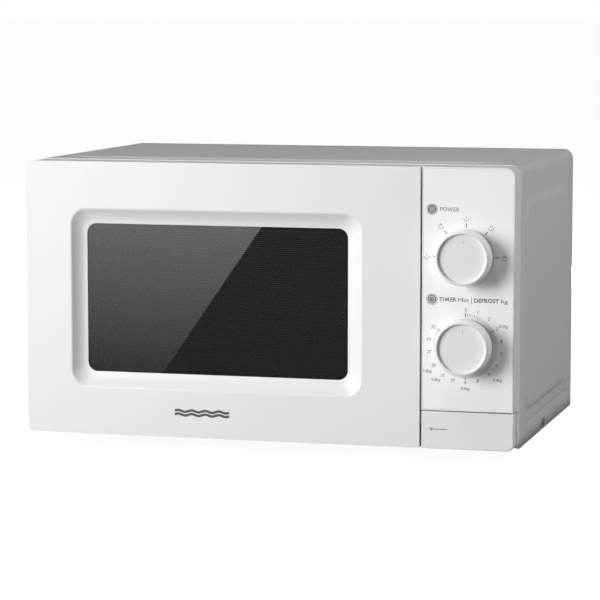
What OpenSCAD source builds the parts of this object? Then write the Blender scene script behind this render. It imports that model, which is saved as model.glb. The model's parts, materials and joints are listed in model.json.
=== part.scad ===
// Mechanical microwave oven: white front, grey steel cabinet, two dials and a door release button.
// Origin on the floor at the centre of the outer box, front towards -Y, +X to the right, +Z up.

/* [Body] */
// Width of the front
front_w = 440; // [436:1:450]
// Height of the door and control panel
front_h = 242.2; // [240:0.2:248]
// Depth from the knob faces to the wall spacers
total_d = 330; // [328:1:340]
// Height of the feet
foot_h = 11; // [9:0.5:16]
// Thickness of the cabinet's steel sheet
sheet = 0.8; // [0.7:0.1:1]
// Radius of the cabinet's two top edges
cabinet_r = 9; // [6:0.5:11]
// Height of the pressed panels on the cabinet's sides
press_h = 2.6; // [1:0.1:3]
// Height of the pressed panel on the cabinet's top
top_press_h = 1.2; // [0.6:0.1:2]

/* [Front] */
// Width of the control panel, with the door gap
panel_w = 81.1; // [80:0.1:82]
// Gap between the door and the control panel
door_gap = 1.8; // [1.4:0.1:2.4]
// Depth of the door's outer frame
door_d = 25; // [24:0.5:25]
// Radius of the front's top corners
top_r = 8.5; // [6:0.5:9]
// Radius of the front's bottom corners
low_r = 5.5; // [4:0.5:6]
// Height of the release button
button_h = 32.3; // [31:0.1:32.6]

/* [Window] */
// Width of the recess around the window
recess_w = 264.2; // [262:0.2:266]
// Height of the recess
recess_h = 158.1; // [156:0.1:160]
// Width of the sloped band between the recess edge and the glass
band_w = 13.1; // [12:0.1:15]
// Corner radius of the recess
recess_r = 14.5; // [14:0.5:17]

/* [Knobs] */
// Height of a knob from the panel to its rim
knob_h = 18.8; // [18:0.1:20]
// Radius of a knob at the panel
knob_r = 23.7; // [22:0.1:24]
// Height of the power dial's centre above the front's bottom edge
power_up = 166; // [164:0.5:168]
// Height of the timer dial's centre above the front's bottom edge
timer_up = 89.4; // [88:0.2:92]

/* [Cavity] */
// Inner width of the oven cavity
cavity_w = 306; // [300:1:308]
// Inner height of the oven cavity
cavity_h = 200; // [196:1:202]
// Inner depth of the oven cavity
cavity_d = 266; // [262:1:266]
// Radius of the glass turntable
plate_r = 122.5; // [115:0.5:126]

/* [Hidden] */
$fn = 48;

// Colours
white = "#efefee";
steel = "#c9cbcc";
paint = "#9a9b9c";
cream = "#dcdcd6";
dark = "#3a3b3d";
copper = "#b8733a";
ivory = "#e4dfcf";

// The front face lies at y = front_y and its lower edge at z = front_z.
front_y = -total_d / 2 + knob_h;
front_z = foot_h + 2.3;
left_x = -front_w / 2;
right_x = front_w / 2;
function back(d) = front_y + d;
function up(h) = front_z + h;

// Cabinet shell
cab_x = front_w / 2 - 0.4;
cab_z0 = foot_h;
cab_z1 = up(front_h) + 0.8;
cab_y0 = back(31);
cab_y1 = back(300.7);
floor_z = foot_h + 0.4;
inner_x = cab_x - sheet - 0.4;
screw_r = 1.5;
side_screw = [back(142), up(4.9)];
rear_screws = [[-150, cab_z1 - 6.5], [0, cab_z1 - 6.5], [150, cab_z1 - 6.5],
    [-cab_x + 6.5, 60], [cab_x - 6.5, 60]];

// Cavity and turntable
frame_y = back(29.2);
cav_x0 = left_x + 20;
cav_x1 = cav_x0 + cavity_w;
cav_z0 = 36;
cav_z1 = cav_z0 + cavity_h;
cav_y0 = frame_y + sheet;
cav_y1 = cav_y0 + cavity_d;
cav_t = 0.7;
cav_r = 10;
spin_x = (cav_x0 + cav_x1) / 2;
spin_y = (cav_y0 + cav_y1) / 2;
roller_r = 7;
roller_z = cav_z0 + 0.3 + roller_r;
roller_in = 92;
roller_w = 6;
plate_z = roller_z + roller_r + 0.3;

// Door
door_x1 = right_x - panel_w - door_gap / 2;
wall = 2.5;
lip_y = back(7);
hinge = [left_x + 9, back(14)];
hinge_arms = [[up(232.7), -1], [up(7.7), 1]];
pin_r = 3;
window_x0 = left_x + 42;
window_z0 = up(42.3);
window_x1 = window_x0 + recess_w;
window_z1 = window_z0 + recess_h;
hook_x = [door_x1 - 16, door_x1 - 12];
hook_z = [205, 75];

// Control panel
panel_x0 = right_x - panel_w + door_gap / 2;
dial_x = right_x - 42;
split_z = up(button_h + 0.8);
push_x = [147, 153];
push_z = [28.5, 31.5];
lever_pivot = [back(38), 50];

// Right-hand compartment
fan = [165, 150];
mag_y = back(135);
mag_z = 205;
lamp = [back(220), 207];

module in_xz(y0, y1) translate([0, y1, 0]) rotate([90, 0, 0]) linear_extrude(y1 - y0) children();
module in_yz(x0, x1) translate([x0, 0, 0]) rotate([90, 0, 90]) linear_extrude(x1 - x0) children();
module in_xy(z0, z1) translate([0, 0, z0]) linear_extrude(z1 - z0) children();
module span(a, b) translate(a) cube(b - a);
module rod_x(y, z, x0, x1, r) translate([x0, y, z]) rotate([0, 90, 0]) cylinder(r = r, h = x1 - x0);
module rod_y(x, z, y0, y1, r) translate([x, y0, z]) rotate([-90, 0, 0]) cylinder(r = r, h = y1 - y0);
module rod_z(x, y, z0, z1, r) translate([x, y, z0]) cylinder(r = r, h = z1 - z0);

// Rectangle with its own radius at each corner: bottom left, bottom right, top right, top left.
module round_rect(x0, z0, x1, z1, r) {
    corners = [[x0, z0, 1, 1], [x1, z0, -1, 1], [x1, z1, -1, -1], [x0, z1, 1, -1]];
    difference() {
        translate([x0, z0]) square([x1 - x0, z1 - z0]);
        for (i = [0:3]) if (r[i] > 0) translate([corners[i][0], corners[i][1]]) difference() {
            square(2 * r[i], center = true);
            translate(r[i] * [corners[i][2], corners[i][3]]) circle(r[i]);
        }
    }
}

// Rectangle with its four corners cut off.
module cut_rect(lo, hi, cut) {
    polygon([[lo[0] + cut[0], lo[1]], [hi[0] - cut[0], lo[1]], [hi[0], lo[1] + cut[1]],
        [hi[0], hi[1] - cut[1]], [hi[0] - cut[0], hi[1]], [lo[0] + cut[0], hi[1]],
        [lo[0], hi[1] - cut[1]], [lo[0], lo[1] + cut[1]]]);
}

// Pressed panel that rises by h over a base, narrowing by its slopes on each side.
module pressed(lo, hi, slope_lo, slope_hi, cut, base, h) hull() {
    linear_extrude(base) cut_rect(lo, hi, cut);
    translate([0, 0, base + h - 0.01]) linear_extrude(0.01) cut_rect(lo + slope_lo, hi - slope_hi, cut);
}

// Closed solid through rings that all have the same number of points.
module loft(rings) {
    n = len(rings[0]);
    last = len(rings) - 1;
    walls = [for (k = [0:last - 1], s = [0:n - 1]) let (t = (s + 1) % n)
        [k * n + s, k * n + t, (k + 1) * n + t, (k + 1) * n + s]];
    start = [for (s = [n - 1:-1:0]) s];
    end = [for (s = [0:n - 1]) last * n + s];
    polyhedron([for (ring = rings, p = ring) p], concat(walls, [start, end]), convexity = 8);
}

// Round wire wound about +Z from z = 0 to z = length.
module coil(r, wire, turns, length) {
    sides = 8;
    steps = 12 * turns;
    loft([for (k = [0:steps]) let (a = 30 * k, z = wire + (length - 2 * wire) * k / steps)
        [for (s = [0:sides - 1]) let (b = 360 * s / sides, q = r + wire * cos(b))
            [q * cos(a), q * sin(a), z + wire * sin(b)]]]);
}

// Grid of round holes in a wall square to X.
module holes_x(x0, x1, y, z, count, pitch, r) {
    for (i = [0:count[0] - 1], j = [0:count[1] - 1]) rod_x(y + i * pitch, z + j * pitch, x0, x1, r);
}

// Row of vertical slots in a wall square to Y.
module slots_y(y0, y1, x, z0, z1, count, pitch, w) {
    for (i = [0:count - 1]) in_xz(y0, y1)
        round_rect(x + i * pitch, z0, x + i * pitch + w, z1, [w, w, w, w] / 2.01);
}

// ---- Cabinet ----

module cabinet_outline(inset) {
    r = cabinet_r - inset;
    drop = inset > 0 ? 1 : 0;
    round_rect(-cab_x + inset, cab_z0 - drop, cab_x - inset, cab_z1 - inset, [0, 0, r, r]);
}

// Pressed panel on the right side, over a base of the given thickness.
module side_press(base) {
    lo = [back(46), up(25.5)];
    hi = [back(268), up(214.8)];
    rotate([90, 0, 90]) pressed(lo, hi, [4, 7], [9, 11.5], [34, 16], base, press_h);
}

module top_press(base) {
    lo = [-cab_x + 20, back(45)];
    pressed(lo, [-lo[0], back(272)], [6, 3], [6, 8], [30, 30], base, top_press_h);
}

// Shallow groove pressed along the foot of the right side.
module side_groove(shift, half) {
    z = up(15.2);
    in_xz(back(58), back(278)) polygon([[cab_x - shift + 0.1, z + half], [cab_x - shift - 1, z],
        [cab_x - shift + 0.1, z - half]]);
}

module outer_cabinet() color(paint) difference() {
    union() {
        in_xz(cab_y0, cab_y1) difference() {
            cabinet_outline(0);
            cabinet_outline(sheet);
        }
        in_xz(cab_y1 - sheet, cab_y1) difference() {
            cabinet_outline(0);
            cabinet_outline(12);
        }
        for (side = [0, 1]) mirror([side, 0, 0]) {
            translate([cab_x - sheet / 2, 0, 0]) side_press(sheet / 2);
            side_groove(sheet, 2.9);
        }
        translate([0, 0, cab_z1 - sheet / 2]) top_press(sheet / 2);
    }
    for (side = [0, 1]) mirror([side, 0, 0]) {
        translate([cab_x - sheet - 0.5, 0, 0]) side_press(0.5);
        side_groove(0, 2.2);
        rod_x(side_screw[0], side_screw[1], cab_x - 2, cab_x + 1, screw_r + 0.3);
    }
    translate([0, 0, cab_z1 - sheet - 0.5]) top_press(0.5);
    for (s = rear_screws) rod_y(s[0], s[1], cab_y1 - 2, cab_y1 + 1, screw_r + 0.3);
}

module cabinet_screws() color(steel) {
    for (side = [0, 1]) mirror([side, 0, 0]) {
        rod_x(side_screw[0], side_screw[1], cab_x - 7, cab_x + 0.1, screw_r);
        difference() {
            rod_x(side_screw[0], side_screw[1], cab_x, cab_x + 1.8, 3.6);
            for (a = [0, 90]) translate([cab_x + 2, side_screw[0], side_screw[1]]) rotate([a, 0, 0])
                cube([1.6, 4, 0.8], center = true);
        }
    }
    for (s = rear_screws) {
        rod_y(s[0], s[1], cab_y1 - 7, cab_y1 + 0.1, screw_r);
        difference() {
            rod_y(s[0], s[1], cab_y1, cab_y1 + 1.8, 3.6);
            for (a = [0, 90]) translate([s[0], cab_y1 + 2, s[1]]) rotate([0, a, 0])
                cube([4, 1.6, 0.8], center = true);
        }
    }
}

foot_places = [[-185, back(95)], [185, back(95)], [-185, back(270)], [185, back(270)]];

module base_plate() color(steel) difference() {
    union() {
        span([-inner_x, cav_y0 + 1.5, floor_z], [inner_x, cab_y1 - 1, floor_z + sheet]);
        for (side = [0, 1]) mirror([side, 0, 0])
            span([inner_x - sheet, back(42), floor_z], [inner_x, back(298), up(11)]);
    }
    for (f = foot_places) rod_z(f[0], f[1], floor_z - 1, floor_z + 2, 3.2);
    for (side = [0, 1]) mirror([side, 0, 0])
        rod_x(side_screw[0], side_screw[1], inner_x - 2, inner_x + 1, screw_r + 0.1);
    for (i = [0:5], j = [0, 1]) in_xy(floor_z - 1, floor_z + 2)
        round_rect(124 + 13 * i, back(176 + 62 * j), 129 + 13 * i, back(208 + 62 * j), 2.4 * [1, 1, 1, 1]);
    for (i = [0:8]) in_xy(floor_z - 1, floor_z + 2)
        round_rect(-130 + 20 * i, back(44), -125 + 20 * i, back(68), 2.4 * [1, 1, 1, 1]);
}

module feet() color(dark) for (f = foot_places) translate([f[0], f[1], 0]) {
    cylinder(r1 = 9.5, r2 = 12, h = floor_z);
    translate([0, 0, floor_z]) cylinder(r = 3, h = 4);
}

// Outline of the two steel sheets that close the cabinet, drawn in by the inset.
module bulkhead(inset) {
    r = cabinet_r - 1 - inset;
    round_rect(-inner_x + inset, floor_z + 1 + inset, inner_x - inset, cab_z1 - sheet - 0.3 - inset,
        [0, 0, r, r]);
}

module rear_panel() color(steel) difference() {
    in_xz(cab_y1 - sheet * 2 - 0.1, cab_y1 - sheet - 0.1) bulkhead(0);
    slots_y(cab_y1 - 4, cab_y1, fan[0] - 40, fan[1] - 36, fan[1] - 4, 11, 7.5, 4);
    slots_y(cab_y1 - 4, cab_y1, fan[0] - 40, fan[1] + 4, fan[1] + 36, 11, 7.5, 4);
    slots_y(cab_y1 - 4, cab_y1, -186, 190, 224, 14, 9, 4);
    for (s = rear_screws) rod_y(s[0], s[1], cab_y1 - 4, cab_y1, screw_r + 0.1);
    for (x = [-140, 140]) rod_y(x, 222, cab_y1 - 4, cab_y1, 3.2);
    rod_y(190, 50, cab_y1 - 4, cab_y1, 8.2);
}

module rear_spacers() color(dark) for (x = [-140, 140]) translate([x, cab_y1 - sheet - 0.1, 222])
    rotate([-90, 0, 0]) {
        cylinder(r = 13, h = 2);
        translate([0, 0, 2]) cylinder(r1 = 10, r2 = 8, h = total_d / 2 - cab_y1 + sheet + 0.1 - 2);
        translate([0, 0, -2.4]) cylinder(r = 3, h = 2.5);
    }

module cord_gland() color(dark) difference() {
    union() {
        rod_y(190, 50, cab_y1 - 8, cab_y1 + 4, 8);
        rod_y(190, 50, cab_y1 - sheet - 0.1, cab_y1 + 2, 11);
        rod_y(190, 50, cab_y1 - 6, cab_y1 - sheet * 2 - 0.2, 9.5);
    }
    rod_y(190, 50, cab_y1 - 9, cab_y1 + 5, 4.2);
}

// ---- Cavity ----

module front_frame() color(cream) difference() {
    union() {
        in_xz(frame_y, frame_y + sheet) bulkhead(0);
        in_xz(frame_y + sheet / 2, back(40)) difference() {
            bulkhead(0);
            bulkhead(sheet);
        }
    }
    in_xz(frame_y - 1, frame_y + 2) {
        round_rect(cav_x0, cav_z0, cav_x1, cav_z1, cav_r * [1, 1, 1, 1]);
        round_rect(146, 24, 210, 246, [4, 4, 4, 4]);
        for (z = hook_z) translate([hook_x[0] - 4, z - 11]) square([13, 19]);
        for (h = hinge_arms) translate([hinge[0], h[0]]) square([10.6, 2.6], center = true);
    }
}

module cavity_box() color(cream) difference() {
    in_xz(cav_y0, cav_y1 + cav_t) round_rect(cav_x0 - cav_t, cav_z0 - cav_t, cav_x1 + cav_t, cav_z1 + cav_t,
        (cav_r + cav_t) * [1, 1, 1, 1]);
    in_xz(cav_y0 - 1, cav_y1) round_rect(cav_x0, cav_z0, cav_x1, cav_z1, cav_r * [1, 1, 1, 1]);
    rod_z(spin_x, spin_y, cav_z0 - 3, cav_z0 + 1, 9);
    span([cav_x1 - 1, mag_y - 37, 150], [cav_x1 + 3, mag_y + 37, 196]);
    holes_x(cav_x1 - 1, cav_x1 + 3, lamp[0] - 12, lamp[1] - 12, [5, 5], 6, 1.5);
    holes_x(cav_x1 - 1, cav_x1 + 3, lamp[0] - 15, 60, [8, 4], 6, 1.5);
    holes_x(cav_x0 - 3, cav_x0 + 1, back(210), 190, [9, 5], 6, 1.5);
}

module waveguide() color(steel) difference() {
    x0 = cav_x1 + cav_t + 0.1;
    x1 = cav_x1 + 22.7;
    span([x0, mag_y - 43, 142], [x1, mag_y + 43, cav_z1 - 2]);
    span([x0 - 1, mag_y - 37, 150], [x1 - sheet, mag_y + 37, 196]);
    span([x0 + sheet, mag_y - 42.2, 142.8], [x1 - sheet, mag_y + 42.2, cav_z1 - 2.8]);
    rod_x(mag_y, mag_z, x1 - 3, x1 + 1, 13);
}

module waveguide_cover() color(ivory)
    in_yz(cav_x1 - 0.5, cav_x1 - 0.1) round_rect(mag_y - 42, 145, mag_y + 42, 201, [3, 3, 3, 3]);

module lamp_socket() color(ivory) {
    rod_x(lamp[0], lamp[1], cav_x1 + 26, cav_x1 + 40, 9);
    difference() {
        span([cav_x1 + 1, lamp[0] - 14, lamp[1] + 14.5], [cav_x1 + 34, lamp[0] + 14, lamp[1] + 16]);
        rod_z(cav_x1 + 10, lamp[0], lamp[1] + 14, lamp[1] + 17, 2);
    }
    span([cav_x1 + 28, lamp[0] - 10, lamp[1] + 7], [cav_x1 + 34, lamp[0] + 10, lamp[1] + 14.6]);
}

module lamp_bulb() color([1, 0.95, 0.8, 0.6]) translate([cav_x1 + 13, lamp[0], lamp[1]]) rotate([0, 90, 0])
    rotate_extrude() polygon(concat([for (a = [-90:9:54]) 10 * [cos(a), sin(a)]], [[6, 12.9], [0, 12.9]]));

cutout_places = [[60, back(200), cav_z1 + cav_t + 0.1], [165, mag_y, mag_z + 40.1]];

module thermal_cutouts() color(dark) for (p = cutout_places) translate(p) {
    cylinder(r = 8, h = 5);
    translate([-12, -4, 0]) cube([24, 8, 0.8]);
    for (s = [-1, 1]) translate([s * 3 - 0.4, -2, 4.9]) cube([0.8, 4, 2.6]);
}

// ---- Turntable ----

module turntable_motor() color(steel) difference() {
    union() {
        rod_z(spin_x, spin_y, cav_z0 - cav_t - 16, cav_z0 - cav_t - 0.2, 24.5);
        in_xy(cav_z0 - cav_t - 1.2, cav_z0 - cav_t - 0.2)
            round_rect(spin_x - 34, spin_y - 6, spin_x + 34, spin_y + 6, [5, 5, 5, 5]);
    }
    rod_z(spin_x, spin_y, cav_z0 - cav_t - 12, cav_z0, 3.05);
}

module drive_coupler() color(ivory) {
    rod_z(spin_x, spin_y, cav_z0 - cav_t - 10, cav_z0 + 6, 3);
    rod_z(spin_x, spin_y, cav_z0 + 0.6, plate_z - 0.3, 7.5);
    translate([spin_x, spin_y, plate_z - 6.3]) for (a = [90, 210, 330]) rotate([0, 0, a])
        linear_extrude(6) round_rect(0, -3.5, 17, 3.5, [0, 3, 3, 0]);
}

module turntable_plate() color([0.85, 0.93, 0.95, 0.4]) translate([spin_x, spin_y, plate_z]) {
    rotate_extrude($fn = 96) {
        translate([0, 0]) square([plate_r - 20, 5]);
        polygon([[plate_r - 20, 0], [plate_r - 2, 9], [plate_r - 2, 13], [plate_r - 4, 13],
            [plate_r - 20, 5]]);
        translate([plate_r - 2.5, 11]) circle(2.5);
    }
    for (a = [30, 150, 270]) rotate([0, 0, a]) translate([13.5, -6, -4]) cube([3, 12, 4.5]);
}

module roller_ring() color(ivory) translate([spin_x, spin_y, roller_z]) {
    rotate_extrude($fn = 96) translate([80, -2.3]) square([6, 4.6]);
    for (a = [30, 150, 270]) rotate([0, 0, a]) {
        rod_x(0, 0, 85, roller_in + roller_w + 1, 2);
        rod_x(0, 0, roller_in + roller_w + 0.4, roller_in + roller_w + 2, 3.2);
    }
}

module roller(a) color(white) translate([spin_x, spin_y, roller_z]) rotate([0, 0, a]) difference() {
    union() {
        rod_x(0, 0, roller_in, roller_in + roller_w, roller_r);
        rod_x(0, 0, roller_in - 1.5, roller_in + 0.5, 3.5);
    }
    rod_x(0, 0, roller_in - 2, roller_in + roller_w + 1, 2.05);
}
module roller_1() roller(30);
module roller_2() roller(150);
module roller_3() roller(270);

// ---- Microwave source ----

module magnetron_yoke() color(steel) difference() {
    span([130, mag_y - 40, mag_z - 40], [188, mag_y + 40, mag_z + 40]);
    span([131.6, mag_y - 41, mag_z - 38.4], [186.4, mag_y + 41, mag_z + 38.4]);
    rod_x(mag_y, mag_z, 129, 189, 12.6);
}

module magnetron_magnets() color(dark) for (x = [131.8, 174.2]) difference() {
    rod_x(mag_y, mag_z, x, x + 12, 27);
    rod_x(mag_y, mag_z, x - 1, x + 13, 12.6);
}

module magnetron_fins() color("#cfd2d4") for (i = [0:6]) difference() {
    span([147 + 3.9 * i, mag_y - 37, mag_z - 37], [147.6 + 3.9 * i, mag_y + 37, mag_z + 37]);
    rod_x(mag_y, mag_z, 146, 173, 18.1);
}

module magnetron_tube() color(copper) {
    rod_x(mag_y, mag_z, 144, 174, 18);
    rod_x(mag_y, mag_z, 126, 196, 12);
    rod_x(mag_y, mag_z, 113, 127, 7);
    rod_x(mag_y, mag_z, 195, 206, 8);
}

// ---- Power supply ----

module transformer_core() color("#6f7377") difference() {
    union() {
        span([122, back(100), floor_z + sheet + 0.4], [206, back(158), 86]);
        span([114, back(104), floor_z + sheet + 0.2], [214, back(154), floor_z + sheet + 2]);
    }
    for (x = [135, 177]) span([x, back(99), 28], [x + 16, back(159), 74]);
}

module transformer_coils() color(copper) for (z = [[28.4, 50], [52, 73.6]]) difference() {
    in_xy(z[0], z[1]) round_rect(135.4, back(90), 192.6, back(168), [9, 9, 9, 9]);
    in_xy(z[0] - 1, z[1] + 1) round_rect(150.6, back(99.6), 177.4, back(158.4), [0, 0, 0, 0]);
}

module capacitor() color("#aeb1b3") translate([0, 0, floor_z + sheet + 0.4]) {
    linear_extrude(80) round_rect(125, back(190), 177, back(224), 16.9 * [1, 1, 1, 1]);
    for (x = [143, 159]) translate([x - 0.4, back(207) - 3, 80]) cube([0.8, 6, 9]);
}

module capacitor_clamp() color(steel) in_xy(44, 56) difference() {
    union() {
        round_rect(123.6, back(188.6), 178.4, back(225.4), 18 * [1, 1, 1, 1]);
        translate([106.9 + 1, back(206)]) square([18, 3]);
    }
    round_rect(124.6, back(189.6), 177.4, back(224.4), 17.2 * [1, 1, 1, 1]);
}

module diode() color(dark) {
    rod_x(back(240), 24, 130, 152, 4);
    rod_x(back(240), 24, 122, 131, 0.8);
    rod_x(back(240), 24, 151, 162, 0.8);
    translate([160, back(236), 23.6]) cube([9, 8, 0.8]);
}

module filter_board() color("#5d7a4e") {
    span([133, back(262), 226], [203, back(297), 227.6]);
    translate([150, back(280), 227.6]) cylinder(r = 10, h = 12);
    span([166, back(270), 227.6], [184, back(290), 241]);
    rod_x(back(267), 231, 136, 160, 2.8);
    span([190, back(266), 227.6], [199, back(294), 236]);
}

// ---- Cooling ----

module fan_shroud() color(dark) {
    difference() {
        span([fan[0] - 53, back(262), fan[1] - 53], [fan[0] + 53, back(298.8), fan[1] + 53]);
        rod_y(fan[0], fan[1], back(261), back(300), 50);
    }
    for (s = [-39, 39]) rod_y(fan[0] + s, fan[1] + s, back(244), back(262.1), 3);
    for (x = [-28, 34], y = [266, 293]) rod_z(fan[0] + x, back(y), fan[1] + 52.9, 226, 2);
}

module fan_motor() color(steel) difference() {
    union() {
        in_xz(back(232), back(252)) translate(fan) square([56, 52], center = true);
        rod_y(fan[0], fan[1], back(226), back(258), 10);
        in_xz(back(242), back(243.9)) translate(fan) rotate(45) square([116, 10], center = true);
        span([fan[0] - 16, back(228), fan[1] - 25], [fan[0] + 16, back(256), fan[1] - 12]);
    }
    rod_y(fan[0], fan[1], back(225), back(260), 2.55);
}

module fan_blade() color("#d8d8d4") translate([fan[0], 0, fan[1]]) {
    rod_y(0, 0, back(227), back(284), 2.5);
    rod_y(0, 0, back(266), back(288), 12);
    intersection() {
        rod_y(0, 0, back(265), back(289), 46);
        for (k = [0:5]) rotate([0, 60 * k, 0]) translate([8, back(277), 0]) rotate([38, 0, 0])
            translate([0, -1, -15]) cube([40, 2, 30]);
    }
}

module air_guide() color("#b9bab7") {
    span([131, back(90), 156], [217, back(215), 158]);
    span([131, back(90), 156], [133, back(180), 164]);
    for (y = [182, 213]) span([131, back(y), 156], [217, back(y + 2), 162]);
}

// ---- Door lock ----

module interlock_bracket() color(white) difference() {
    union() {
        span([108, back(30.3), 42], [143, back(32.3), 226]);
        span([108, back(31), 42], [110, back(74), 226]);
        span([141, back(31), 42], [143, back(74), 226]);
        for (z = hook_z) span([109, back(35), z - 14.4], [142, back(41), z - 9.4]);
        for (z = [90, 130, 170]) span([109, back(31), z], [142, back(72), z + 2]);
        for (z = switch_z, dz = [-8, 8]) rod_x(back(64), z + dz, 109, 118.9, 1.5);
    }
    for (z = hook_z) span([hook_x[0] - 5, back(30), z - 12], [hook_x[1] + 6, back(33), z + 9]);
    rod_x(lever_pivot[0], lever_pivot[1], 107, 111, 2.05);
    rod_x(lever_pivot[0], lever_pivot[1], 140, 144, 3.55);
}

switch_z = [205, 150, 74];

module door_switches() color(dark) for (z = switch_z) difference() {
    span([119, back(56), z - 13], [129, back(72), z + 13]);
    rod_y(124, z, back(55), back(62), 1.45);
}

module switch_plungers() color("#b43c32") for (z = switch_z) rod_y(124, z, back(52.4), back(59), 1.4);

module release_lever() color(ivory) {
    rod_x(lever_pivot[0], lever_pivot[1], 107.8, 112, 2);
    rod_x(lever_pivot[0], lever_pivot[1], 110.4, 154, 3.5);
    span([push_x[0], back(36.4), push_z[0] - 1.5], [push_x[1], back(40), lever_pivot[1]]);
    span([121, back(38), lever_pivot[1] - 2], [127, back(50), lever_pivot[1] + 2]);
    span([121, back(46), lever_pivot[1] - 2], [127, back(50), hook_z[1] - 11.9]);
}

module latch_hooks() color(ivory) {
    span([hook_x[0], back(18), 60], [hook_x[1], back(22), 218]);
    for (z = hook_z) {
        span([hook_x[0], back(21), z - 5], [hook_x[1], back(52), z + 3]);
        in_yz(hook_x[0], hook_x[1]) polygon([[back(44), z - 4], [back(44), z - 9], [back(47), z - 9],
            [back(52), z - 3], [back(52), z - 2]]);
    }
}

module latch_spring() color(steel) translate([(hook_x[0] + hook_x[1]) / 2, back(20), 45])
    coil(2.6, 0.4, 7, 14.8);

module door_hinges() color(steel) for (h = hinge_arms) {
    in_xy(h[0] - 1, h[0] + 1) {
        translate(hinge) circle(5);
        translate([hinge[0] - 5, hinge[1]]) square([10, back(31.6) - hinge[1]]);
    }
    far = h[0] + h[1] * 16;
    rod_z(hinge[0], hinge[1], min(h[0], far), max(h[0], far), pin_r);
    foot = h[0] + h[1] * 26;
    root = h[0] - h[1];
    span([hinge[0] - 5, back(30.2), min(root, foot)], [hinge[0] + 7, back(31.6), max(root, foot)]);
}

// ---- Control panel ----

// Outline of the control panel and button column, drawn in by the inset.
module column(inset, z0, z1) {
    low = z0 < up(10) ? low_r - inset : 0;
    high = z1 > up(front_h - 20) ? top_r - inset : 0;
    round_rect(panel_x0 + inset, z0 + inset, right_x - inset, z1 - inset, [0, low, high, 0]);
}

module control_panel() color(white) difference() {
    union() {
        difference() {
            in_xz(back(0), back(28)) column(0, split_z, up(front_h));
            in_xz(back(wall), back(29)) column(wall, split_z, up(front_h));
        }
        in_xz(back(17.5), back(28)) difference() {
            column(0, up(0), split_z + 1);
            column(wall, up(0), split_z + 4);
        }
        in_xz(back(7.4), back(17.6)) difference() {
            column(2.8, up(0), split_z - 0.8);
            column(4.8, up(0), split_z - 0.8);
        }
        in_xz(back(16), back(18)) column(2.8, up(0), split_z + 6);
        for (z = [up(power_up), up(timer_up)], x = [-27, 27]) rod_y(dial_x + x, z, back(2), back(8), 3);
    }
    in_xz(back(-1), back(0.3)) column(1.2, split_z, up(front_h));
    for (z = [up(power_up), up(timer_up)]) rod_y(dial_x, z, back(-1), back(4), 7);
    span([push_x[0] - 1, back(15), push_z[0] - 1], [push_x[1] + 1, back(19), push_z[1] + 1]);
}

module panel_overlay() color("#f2f2f1") difference() {
    in_xz(back(0), back(0.3)) column(1.25, split_z, up(front_h));
    for (z = [up(power_up), up(timer_up)]) rod_y(dial_x, z, back(-1), back(1), 7);
}

button_z = up(button_h / 2);

module release_button() color(white) difference() {
    union() {
        in_xz(back(0), back(12)) column(0, up(0), up(button_h));
        span([push_x[0], back(3), push_z[0]], [push_x[1], back(35.9), push_z[1]]);
    }
    difference() {
        in_xz(back(3), back(13)) column(2.4, up(0), up(button_h));
        rod_y(190, button_z, back(2), back(11), 2.5);
        span([push_x[0], back(2), push_z[0]], [push_x[1], back(37), push_z[1]]);
    }
    in_xz(back(-1), back(0.8)) translate([panel_x0 + 7.6, up(17)]) {
        translate([0, -0.4]) square([15, 0.8]);
        polygon([[-0.6, 0], [2, 1.7], [2, 0.4], [2, -0.4]]);
    }
}

module button_spring() color(steel) translate([190, back(3.1), button_z]) rotate([-90, 0, 0])
    coil(3.6, 0.45, 6, 12.8);

// Knob on the y axis: rounded rim around a dished face, hollow behind, with a hub for its shaft.
module knob(z, hub) color(white) translate([dial_x, front_y, z]) rotate([90, 0, 0]) difference() {
    rotate_extrude($fn = 96) difference() {
        union() {
            polygon([[hub, -1.5], [5.5, -1.5], [5.5, 13], [knob_r - 2.6, 13], [knob_r - 2, 0.5],
                [knob_r, 0.5], [knob_r - 0.8, knob_h - 1.9], [knob_r - 2.7, knob_h - 1.9],
                [knob_r - 4.4, knob_h - 2.2], [0, knob_h - 2.2], [0, 14.5], [hub, 14.5]]);
            translate([knob_r - 2.7, knob_h - 1.9]) circle(1.9);
        }
    }
    translate([0, 14, knob_h - 2.7]) cylinder(r = 1.1, h = 1);
}
module power_knob() knob(up(power_up), 3.03);
module timer_knob() knob(up(timer_up), 3.03);

module dial_shaft(z) color(steel) difference() {
    rod_y(dial_x, z, back(-14), back(16), 3);
    span([dial_x + 2, back(-15), z - 4], [dial_x + 4, back(2), z + 4]);
}
module power_shaft() dial_shaft(up(power_up));
module timer_shaft() dial_shaft(up(timer_up));

module power_selector() color("#d9d4c0") difference() {
    z = up(power_up);
    union() {
        in_xz(back(8.1), back(9.4)) round_rect(dial_x - 32, z - 22, dial_x + 32, z + 22, [3, 3, 3, 3]);
        in_xz(back(9), back(34)) round_rect(dial_x - 22, z - 22, dial_x + 22, z + 22, [4, 4, 4, 4]);
        for (x = [-14, -5, 4, 13]) span([dial_x + x, back(33), z - 12], [dial_x + x + 0.8, back(42), z - 6]);
    }
    rod_y(dial_x, z, back(7), back(18), 3.05);
}

module timer_unit() color("#d9d4c0") difference() {
    z = up(timer_up);
    union() {
        in_xz(back(8.1), back(9.4)) round_rect(dial_x - 33, z - 27, dial_x + 33, z + 27, [3, 3, 3, 3]);
        in_xz(back(9), back(38)) round_rect(dial_x - 26.5, z - 27, dial_x + 26.5, z + 27, [5, 5, 5, 5]);
        rod_y(dial_x, z + 4, back(37), back(50), 20);
        for (x = [-18, -9, 9, 18]) span([dial_x + x, back(37), z - 24], [dial_x + x + 0.8, back(47), z - 18]);
    }
    rod_y(dial_x, z, back(7), back(18), 3.05);
}

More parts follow.
